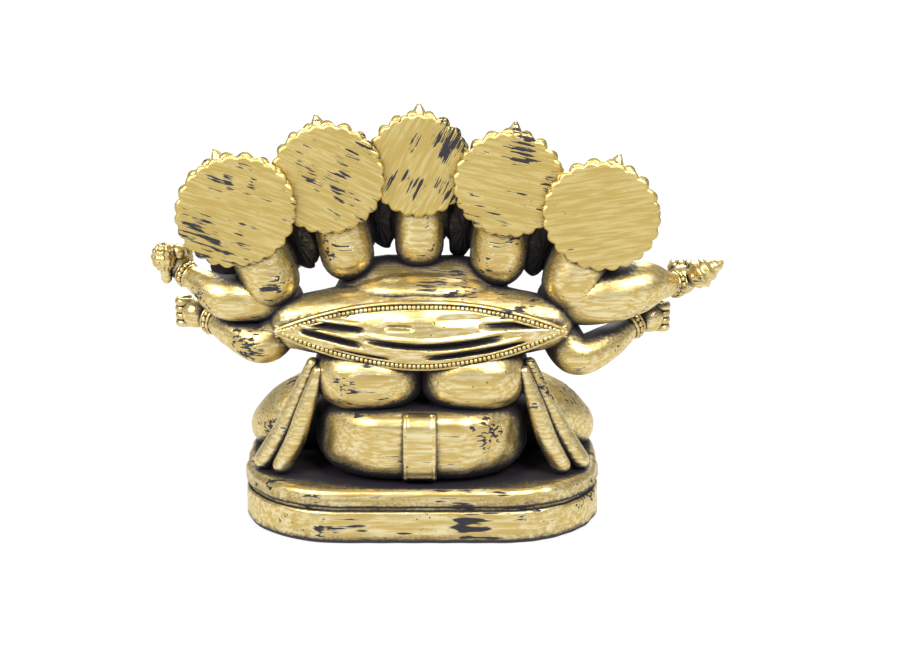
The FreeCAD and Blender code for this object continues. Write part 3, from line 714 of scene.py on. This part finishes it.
@dataclass
class HeadUnit:
    """One elephant head with its neck, ears, trunk, crown and halo, leant about the halo's middle."""

    name: str
    lean: float
    half_width: float
    half_height: float
    neck_radius: float
    stroke_angle: float
    stroke_cover: float
    origin: np.ndarray = field(init=False)
    turn: np.ndarray = field(init=False)
    scallops: int = 24
    petals: int = 19
    crown_back: float = -1.5

    def __post_init__(self) -> None:
        """Takes the halo's middle and back face from its CAD node."""
        low, high = node_box(f"halo_{self.name}")
        self.origin = np.array([(low[0] + high[0]) / 2, high[1], (low[2] + high[2]) / 2])
        c, s = math.cos(math.radians(self.lean)), math.sin(math.radians(self.lean))
        self.turn = np.array([[c, 0.0, s], [0.0, 1.0, 0.0], [-s, 0.0, c]])

    def placed(self, parts: list[Surface]) -> list[Surface]:
        """Parts drawn upright about the halo's middle, leant and moved into place."""
        return [part.moved(self.turn, self.origin) for part in parts]

    @property
    def face(self) -> np.ndarray:
        """Middle of the head, upright."""
        return np.array([0.0, -0.8 - self.neck_radius - 3.8, -9.6])

    def plate(
        self, profile: list, lobes: int, height: float, start: float = 0.0, fade: float = 0.0
    ) -> Surface:
        """Scalloped plate: a profile of radius share and depth carried round an oval, with lobes at its rim.

        A lobe's height is the size of a cosine of the turn; fade takes it away towards the bottom.
        """
        share, depth = np.array(profile).T
        turn = circle(lobes * 12)[None, :]
        upward = 1 - fade * (1 - np.sin(turn)) / 2
        bump = height * upward * np.abs(np.cos(lobes * (turn - start) / 2)) * share[:, None] ** 6
        x = (self.half_width * share[:, None] + bump) * np.cos(turn)
        z = (self.half_height * share[:, None] + bump) * np.sin(turn)
        return skin(np.stack([x, np.broadcast_to(depth[:, None], x.shape), z], axis=-1), 0.0)

    def halo(self) -> list[Surface]:
        """Flat back plate with a scalloped edge, and a row of petals in front of it."""
        plate = [(0.02, -0.05), (0.3, -0.05), (0.6, -0.04), (0.85, -0.02), (0.94, 0.0), (0.985, -0.1),
                 (1.0, -0.4), (0.995, -0.8), (0.97, -1.05), (0.6, -1.1), (0.1, -1.1)]
        petals = [(0.1, -1.0), (0.8, -1.0), (0.93, -1.15), (0.98, -1.5), (0.97, -1.9), (0.91, -2.15),
                  (0.86, -1.9), (0.74, -2.2), (0.4, -2.2), (0.1, -2.2)]
        return self.placed([self.plate(plate, self.scallops, 0.45),
                            self.plate(petals, self.petals, 1.0, 0.12, 0.95)])

    def crown(self) -> list[Surface]:
        """Tiered, fluted crown that ends in a pointed finial, with a beaded band."""
        top, height, radius = self.half_height + 1.1, 14.0, 4.6
        steps = [(0.3, 0.0), (0.96, 0.01), (1.06, 0.06), (0.9, 0.14), (1.0, 0.2), (1.02, 0.27), (0.84, 0.33),
                 (0.9, 0.4), (0.84, 0.48), (0.62, 0.55), (0.68, 0.62), (0.44, 0.7), (0.5, 0.77), (0.28, 0.84),
                 (0.22, 0.9), (0.05, 1.0)]
        profile = curve([(r * radius, top - height + h * height, 0.0) for r, h in steps], 70)[:, :2]
        middle = np.array([0.0, -2.2 - 0.55 * radius, 0.0])
        body = turned(profile, 64, 12, 0.03).moved(np.eye(3), middle)
        level = top - height + 0.1 * height
        band = beads(ring(middle + (0, 0, level), (0, 0, 1), 1.04 * radius, 26), 0.5)
        for part in (body, band):
            part.points[:, 1] = np.minimum(part.points[:, 1], self.crown_back)
        return self.placed([body, band])

    def neck(self) -> list[Surface]:
        """Rounded column behind the head that shows as a bulge below the halo."""
        r = self.neck_radius
        y = -0.8 - r
        return self.placed([tube([(0, y, -self.half_height + r / 2 + 2, 0.92 * r), (0, y, -11.0, r),
                                  (0, y, -16.2 + r, r)], around=48)])

    def head(self) -> list[Surface]:
        """Skull with twin domes, cheeks, brows, lidded eyes and a lower lip."""
        f = self.face
        parts = [ball(tuple(f), (4.7, 4.8, 4.8), rows=40, around=60)]
        for s in (1, -1):
            parts += [
                ball(tuple(f + (s * 1.9, -1.7, 2.2)), (2.7, 2.8, 2.7)),
                ball(tuple(f + (s * 2.1, -2.7, -1.9)), (2.2, 2.2, 2.3)),
                ball(tuple(f + (s * 2.15, -4.05, 0.35)), (0.85, 0.5, 0.42)),
                tube([tuple(f + (s * 1.2, -4.5, 0.95)) + (0.2,), tuple(f + (s * 2.2, -4.45, 1.3)) + (0.28,),
                      tuple(f + (s * 3.2, -3.75, 0.9)) + (0.18,)], 20, 12, guide=(0, 0, 1)),
            ]
        parts.append(ball(tuple(f + (0, -3.3, -4.0)), (1.4, 1.6, 1.0)))
        return self.placed(parts)

    def ears(self) -> list[Surface]:
        """Fan-shaped flaps: an oval, wider above, cupped by the square of the distance from its middle."""
        share = np.array([0.05, 0.3, 0.55, 0.8, 0.95, 1.0, 0.95, 0.8, 0.4, 0.05])[:, None]
        depth = np.array([0.5, 0.5, 0.45, 0.35, 0.35, 0.0, -0.4, -0.45, -0.45, -0.45])[:, None]
        turn = circle(48)[None, :]
        z = 4.3 * share * np.sin(turn)
        x = 2.5 * share * np.cos(turn) * (1 + 0.2 * np.sin(turn)) + 0.25 * share**4 * np.sin(5 * turn)
        y = -depth - 0.5 * share**2 + 0.12 * share * np.cos(9 * turn)
        rows = np.stack(np.broadcast_arrays(x, y, z), axis=-1)
        flaps = []
        for s in (1, -1):
            a = math.radians(18 * s)
            spin = np.array([[math.cos(a), -math.sin(a), 0], [math.sin(a), math.cos(a), 0], [0, 0, 1]])
            flaps.append(skin(rows, 0.0).moved(spin, self.face + (s * 5.4, -0.3, 0.2)))
        return self.placed(flaps)

    def trunk(self) -> list[Surface]:
        """Tapered trunk with rings, down over the chest and curled outwards at its tip."""
        root = self.face + (0.0, -4.8, 0.0)
        curl = 1.0 if self.origin[0] >= 0 else -1.0
        steps = ((0.0, 1.6, 0.5, 1.9), (0.0, -1.0, -3.0, 1.75), (0.1, -1.7, -6.6, 1.5),
                 (0.6, -1.6, -10.2, 1.25), (2.0, -2.2, -12.6, 1.03), (3.7, -2.8, -12.0, 0.84))
        line = [tuple(root + (curl * x, y, z)) + (r,) for x, y, z, r in steps]
        return self.placed([tube(line, 110, 28, ripple=(0.045, 1.0))])

    def tusks(self) -> list[Surface]:
        """Two short tapered tusks beside the trunk."""
        root = self.face + (0.0, -4.8, 0.0)
        pair = []
        for s in (1, -1):
            start = root + (s * 2.5, 2.0, -2.6)
            pair.append(tube([tuple(start) + (0.5,), tuple(start + (s * 0.6, -1.6, -1.1)) + (0.42,),
                              tuple(start + (s * 0.9, -3.0, -1.5)) + (0.16,)], 20, 14, guide=(0, 0, 1)))
        return self.placed(pair)

    def build(self) -> None:
        """Adds every piece of this head but the tusks, which are one piece for all heads."""
        word = self.name.replace("_", " ")
        plate_brass = RubbedBrass(
            f"Dry-brushed brass, halo {word}", metal="#c9b067", bright="#dcc887", stroke_length=5.0,
            stroke_width=0.4, stroke_angles=(0.0, self.stroke_angle, 0.0), stroke_cover=self.stroke_cover,
            patch=5.0, crevice=1.2, crevice_open=0.5, worn_roughness=0.42, speck_cover=0.0)
        add_piece(f"halo {word}", self.halo(), plate_brass, [f"halo_{self.name}"])
        add_piece(f"crown {word}", self.crown(), ORNAMENT_BRASS, [f"crown_{self.name}"])
        for kind, parts in (("neck", self.neck()), ("head", self.head()), ("ears", self.ears()),
                            ("trunk", self.trunk())):
            add_piece(f"{kind} {word}", parts, BODY_BRASS, [f"{kind}_{self.name}"])


@dataclass
class Arms:
    """Two raised rear arms and two bent front arms, with closed hands, bangles, the bud and the conch."""

    finger: float = 0.62
    palm: float = 2.0
    bangle: float = 2.3

    def root(self, side: Side, drop: float) -> np.ndarray:
        """Point inside a shoulder from which an arm starts."""
        return np.array([side.value * (20.7 - 0.3 * drop), 5.5, 33.5 - drop])

    def upper(self, side: Side) -> list:
        """Stations of a rear arm."""
        root = self.root(side, 0.0)
        if side is Side.LEFT:
            steps = ((0, 0, 0, 3.4), (4.2, 1.4, 0.5, 3.5), (8.3, 1.9, 1.0, 3.3), (11.4, 0.4, 2.4, 2.2),
                     (13.9, -1.5, 3.4, 1.5))
        else:
            steps = ((0, 0, 0, 3.8), (-4.0, 1.6, 0.8, 4.2), (-8.4, 1.9, 1.6, 4.2), (-12.9, 0.7, 2.4, 3.3),
                     (-15.4, -0.6, 2.1, 2.0), (-16.9, -1.7, 1.8, 1.5))
        return [tuple(root + (x, y, z)) + (r,) for x, y, z, r in steps]

    def lower(self, side: Side) -> list:
        """Stations of a front arm."""
        s = side.value
        root = self.root(side, 3.0 if s > 0 else 3.8)
        sag = 0.0 if s > 0 else 1.0
        reach = (11.2, -3.6, -1.1) if s > 0 else (-11.7, -3.6, -1.0)
        steps = ((0, 0, 0, 3.0), (s * 3.2, 2.4, -3.0 - sag, 3.05), (s * 7.8, 0.0, -1.9 - sag, 2.6),
                 (*reach, 1.7))
        return [tuple(root + (x, y, z)) + (r,) for x, y, z, r in steps]

    def hand(self, palm: np.ndarray, reach: tuple, spread: tuple) -> list[Surface]:
        """Closed hand: a palm, four fingers side by side that curl forwards, and a thumb across them."""
        reach, spread = np.array(reach, float), np.array(spread, float)
        forward = np.array([0.0, -1.0, 0.0])
        parts = [ball(tuple(palm), (1.15 * self.palm,) * 3)]
        for i in range(4):
            start = palm + spread * ((i - 1.5) * 1.8 * self.finger) + reach * (0.4 * self.palm)
            knuckle = start + reach * (0.85 * self.palm)
            bend = knuckle + forward * (0.7 * self.palm) + reach * 0.1
            tip = knuckle + forward * (1.25 * self.palm) - reach * (0.5 * self.palm)
            parts.append(tube([tuple(p) + (self.finger,) for p in (start, knuckle, bend, tip)], 24, 14,
                              guide=tuple(spread)))
        thumb = [palm - spread * 1.6 + forward * 0.6, palm - spread * 1.5 + forward * 1.8 + reach * 1.0,
                 palm - spread * 0.6 + forward * 2.4 + reach * 1.4]
        parts.append(tube([tuple(p) + (0.6,) for p in thumb], 20, 14, guide=(0.0, 0.2, 1.0)))
        return parts

    def held(self, side: Side) -> np.ndarray:
        """Palm of a rear hand."""
        wrist = np.array(self.upper(side)[-1][:3])
        return wrist + ((1.4, -1.4, 1.3) if side is Side.LEFT else (-1.0, -1.6, 0.4))

    def bangles(self) -> list[Surface]:
        """A row of beads between two thin rings round each wrist."""
        parts = []
        for side in Side:
            for line, size in ((self.lower(side), self.bangle), (self.upper(side), 0.85 * self.bangle)):
                end, before = np.array(line[-1][:3]), np.array(line[-2][:3])
                axis = unit(end - before)
                parts.append(beads(ring(end, axis, size - 0.35, 14), 0.5))
                for shift in (-0.65, 0.65):
                    loop = ring(end + shift * axis, axis, size - 0.4, 40)
                    parts.append(self.hoop(loop, end + shift * axis, axis, 0.28))
        return parts

    def hoop(self, loop: np.ndarray, centre: np.ndarray, axis: np.ndarray, radius: float) -> Surface:
        """Wire ring: a small circle carried round a large one; it closes on itself, so it has no poles."""
        outward = unit(loop - centre)
        turn = circle(10)[None, :, None]
        rows = loop[:, None] + radius * (np.cos(turn) * outward[:, None] + np.sin(turn) * axis)
        count, around = rows.shape[:2]
        index = np.arange(count * around).reshape(count, around)
        ahead, below = np.roll(index, -1, axis=1), np.roll(index, -1, axis=0)
        quads = np.stack([index, below, np.roll(below, -1, axis=1), ahead], axis=-1).reshape(-1, 4)
        a, b, c = (rows.reshape(-1, 3)[quads[:, k]] - centre for k in range(3))
        if np.einsum("ij,ij->", a, np.cross(b, c)) < 0:
            quads = quads[:, ::-1]
        return Surface(rows.reshape(-1, 3), quads, np.zeros((0, 3), int))

    def bud(self) -> list[Surface]:
        """Lotus bud with a net of scales: two crossing cosine waves on a ball; a small bud and a stem."""
        centre = self.held(Side.LEFT) + (1.85, 1.9, 1.4)
        rise = np.linspace(-0.49, 0.49, 60)[:, None] * np.pi
        turn = circle(90)[None, :]
        net = 1 + 0.07 * np.cos(6 * turn + 6 * rise) * np.cos(6 * turn - 6 * rise)
        radius = 1.85 * net
        level = radius * np.cos(rise)
        rows = np.stack(np.broadcast_arrays(
            level * np.cos(turn), level * np.sin(turn), 1.12 * radius * np.sin(rise)
        ), axis=-1)
        return [skin(centre + rows, 0.0), ball(tuple(centre + (-2.1, -0.6, 0.6)), (1.2, 1.2, 1.2)),
                tube([tuple(centre) + (0.9,), tuple(centre + (-0.3, 0, -3.2)) + (0.8,)], 12, 16)]

    def conch(self) -> list[Surface]:
        """Conch: a spindle of rings whose radius carries one ridge that winds round it as it climbs."""
        axis = unit(np.array([-0.88, 0.0, 0.48]))
        across = unit(np.cross(axis, (0.0, 1.0, 0.0)))
        along = np.cross(axis, across)
        rise = np.linspace(0.02, 0.99, 80)[:, None]
        turn = circle(48)[None, :]
        spindle = np.interp(rise, [0, 0.12, 0.3, 0.42, 0.6, 0.78, 0.92, 1.0],
                            [0.15, 0.6, 0.95, 1.0, 0.78, 0.5, 0.28, 0.08])
        ridge = 1 + 0.08 * np.cos(turn - 2 * np.pi * 4.5 * rise)
        radius = (2.2 * spindle * ridge)[..., None]
        spine = self.held(Side.RIGHT) + (-0.4, 1.2, -0.1) + 6.4 * rise[..., None] * axis
        ring_points = np.cos(turn)[..., None] * across + np.sin(turn)[..., None] * along
        return [skin(spine + radius * ring_points, 0.0)]

    def build(self) -> None:
        """Adds arms, hands, bangles and what the hands hold."""
        for side in Side:
            s, word = side.value, side.word
            for row, line in (("upper", self.upper(side)), ("lower", self.lower(side))):
                add_piece(f"arm {row} {word}", [tube(line, 60, 36)], BODY_BRASS,
                          [f"arm_{row}_{word}"])
            palm = np.array(self.lower(side)[-1][:3]) + (s * 2.7, -1.6, 0.7)
            front = self.hand(palm, (s, 0, 0), (0, 0.15, 1))
            rear = self.hand(self.held(side), (0.2 * s, 0, 0.8), (s, 0.2, 0))
            add_piece(f"hand lower {word}", front, BODY_BRASS, [f"hand_lower_{word}"])
            add_piece(f"hand upper {word}", rear, BODY_BRASS, [f"hand_upper_{word}"])
        add_piece("bangles", self.bangles(), ORNAMENT_BRASS, ["bangles"])
        add_piece("lotus bud", self.bud(), ORNAMENT_BRASS, ["lotus_bud"])
        add_piece("conch", self.conch(), ORNAMENT_BRASS, ["conch"])


@dataclass
class Legs:
    """Folded legs with feet, and the necklace over the chest."""

    necklace_half: float = 9.6
    necklace_drop: float = 5.6
    bead: float = 0.7

    def leg(self, side: Side) -> list[Surface]:
        """Thigh, knee at the side of the plinth, and shin across the front, with an anklet."""
        s = side.value
        lift = 0.6 if s > 0 else 0.0
        line = [(s * 14.2, -2.2, 15.2, 6.0), (s * 19.6, -2.6, 13.2, 5.2), (s * 22.3, -4.6, 11.2, 4.0),
                (s * 18.6, -9.4, 11.3, 3.5), (s * 12.5, -12.2, 11.4, 3.1),
                (s * 2.6, -13.6 - lift, 10.6 + lift, 2.3)]
        end, before = np.array(line[-1][:3]), np.array(line[-2][:3])
        axis = unit(end - before)
        anklet = beads(ring(end - 2.6 * axis, axis, 2.55, 18), 0.42)
        return [tube(line, 80, 40, guide=(0, 0, 1)), anklet]

    def foot(self, side: Side) -> list[Surface]:
        """Flattened foot with five toes."""
        s = -side.value
        heel = np.array([s * 1.8, -16.2, 9.95])
        parts = [tube([tuple(heel) + (1.55,), tuple(heel + (s * 3.4, 0, -0.1)) + (1.45,),
                       tuple(heel + (s * 5.2, 0, -0.1)) + (1.5,)], 30, 28, guide=(0, 0, 1))]
        parts += [ball(tuple(heel + (s * 6.6, 0.0, 1.0 - 0.5 * i)), (0.75, 0.62, 0.36), rows=10, around=16)
                  for i in range(5)]
        return parts

    def necklace(self) -> list[Surface]:
        """Row of beads along half an oval on the chest, with a larger one in the middle."""
        turn = np.linspace(0.06, 0.94, 25) * np.pi
        x = self.necklace_half * np.cos(turn)
        z = 35.6 - self.necklace_drop * np.sin(turn)
        past = np.maximum(0.0, np.abs(x) - 5.0)
        y = 3.5 - np.sqrt(np.maximum(81.0 - past**2 - (z - 30.5) ** 2, 1.0)) - 0.3
        points = np.column_stack([x, y, z])
        pendant = ball(tuple(points[12] + (0.0, -0.2, -0.9)), (0.9, 0.6, 1.2), rows=14, around=20)
        return [beads(points, self.bead), pendant]

    def build(self) -> None:
        """Adds legs, feet and the necklace."""
        for side in Side:
            add_piece(f"leg {side.word}", self.leg(side), BODY_BRASS, [f"leg_{side.word}"])
            add_piece(f"foot {side.word}", self.foot(side), BODY_BRASS, [f"foot_{side.word}"])
        add_piece("necklace", self.necklace(), ORNAMENT_BRASS, ["necklace"])


@dataclass
class Studio:
    """Pale sweep, soft lamps and the camera behind the figure. Lengths in metres."""

    floor_half: float = 3.0
    camera: tuple[float, float, float] = (-0.0042, 0.3526, 0.1227)
    target: tuple[float, float, float] = (-0.0042, 0.0, 0.0282)
    lens: float = 97.3
    floor_white: float = 0.88
    lamps: tuple = (
        ((-0.22, 0.34, 0.42), 0.24, 3.0),
        ((0.30, 0.30, 0.34), 0.22, 2.3),
        ((0.0, -0.42, 0.40), 0.30, 2.8),
    )

    def backdrop(self, shader_tree: bpy.types.NodeTree, surface: bpy.types.NodeSocket) -> None:
        """Mixes plain white into what camera, glossy and clear rays see, so that the floor stays pale."""
        path = add_node(shader_tree, "ShaderNodeLightPath", {})
        seen = add_node(shader_tree, "ShaderNodeMath", {"operation": "MAXIMUM"},
                        {0: path.outputs["Is Camera Ray"], 1: path.outputs["Is Glossy Ray"]})
        seen = add_node(shader_tree, "ShaderNodeMath", {"operation": "MAXIMUM"},
                        {0: seen.outputs[0], 1: path.outputs["Is Transmission Ray"]})
        share = add_node(shader_tree, "ShaderNodeMath", {"operation": "MULTIPLY", 1: self.floor_white},
                         {0: seen.outputs[0]})
        white = add_node(shader_tree, "ShaderNodeEmission", {"Color": (1, 1, 1, 1), "Strength": 1.0})
        mix = add_node(shader_tree, "ShaderNodeMixShader", {},
                       {0: share.outputs[0], 1: surface, 2: white.outputs[0]})
        add_node(shader_tree, "ShaderNodeOutputMaterial", {}, {"Surface": mix.outputs[0]})

    def build(self) -> None:
        """Makes the floor, the world, the lamps and the camera."""
        scene = bpy.context.scene
        h = self.floor_half
        mesh = bpy.data.meshes.new("floor")
        mesh.from_pydata([(-h, -h, 0), (h, -h, 0), (h, h, 0), (-h, h, 0)], [], [(0, 1, 2, 3)])
        floor = bpy.data.objects.new("floor", mesh)
        scene.collection.objects.link(floor)
        paint = bpy.data.materials.new("White matt paint, floor")
        paint.use_nodes = True
        paint.node_tree.nodes.clear()
        matt = add_node(paint.node_tree, "ShaderNodeBsdfDiffuse", {"Color": (0.95, 0.95, 0.95, 1)})
        self.backdrop(paint.node_tree, matt.outputs[0])
        mesh.materials.append(paint)
        world = bpy.data.worlds.new("studio")
        world.use_nodes = True
        world.node_tree.nodes.clear()
        path = add_node(world.node_tree, "ShaderNodeLightPath", {})
        soft = add_node(world.node_tree, "ShaderNodeBackground", {"Color": (1, 1, 1, 1), "Strength": 0.44})
        plain = add_node(world.node_tree, "ShaderNodeBackground", {"Color": (1, 1, 1, 1), "Strength": 1.0})
        mix = add_node(world.node_tree, "ShaderNodeMixShader", {},
                       {0: path.outputs["Is Camera Ray"], 1: soft.outputs[0], 2: plain.outputs[0]})
        add_node(world.node_tree, "ShaderNodeOutputWorld", {}, {"Surface": mix.outputs[0]})
        scene.world = world
        for number, (place, size, power_watts) in enumerate(self.lamps):
            light = bpy.data.lights.new(f"softbox {number}", "AREA")
            light.size, light.energy = size, power_watts
            lamp = bpy.data.objects.new(light.name, light)
            lamp.location = place
            lamp.rotation_euler = (Vector((0, 0, 0.03)) - Vector(place)).to_track_quat("-Z", "Y").to_euler()
            scene.collection.objects.link(lamp)
        data = bpy.data.cameras.new("camera")
        data.lens, data.sensor_width = self.lens, 36.0
        data.clip_start, data.clip_end = 0.01, 20.0
        camera = bpy.data.objects.new("camera", data)
        camera.location = self.camera
        aim = Vector(self.target) - Vector(self.camera)
        camera.rotation_euler = aim.to_track_quat("-Z", "Y").to_euler()
        scene.collection.objects.link(camera)
        scene.camera = camera
        scene.view_settings.view_transform = "Standard"


def main() -> None:
    """Builds the figure and the studio round it."""
    logging.basicConfig(level=logging.INFO, format="%(message)s")
    Plinth().build()
    LowerBody().build()
    Torso().build()
    Shawl().build()
    units = [
        HeadUnit("left_outer", 22, 8.5, 7.8, 4.3, -18, 0.42),
        HeadUnit("left_inner", 12, 7.9, 7.7, 4.0, -25, 0.42),
        HeadUnit("centre", 0, 7.2, 7.2, 3.6, 62, 0.55),
        HeadUnit("right_inner", -7, 7.7, 7.4, 4.2, -12, 0.45),
        HeadUnit("right_outer", -19, 8.2, 7.6, 4.6, 8, 0.05),
    ]
    for head_unit in units:
        head_unit.build()
    add_piece("tusks", [part for u in units for part in u.tusks()], BODY_BRASS, ["tusks"])
    Arms().build()
    Legs().build()
    Studio().build()


if __name__ == "__main__":
    main()
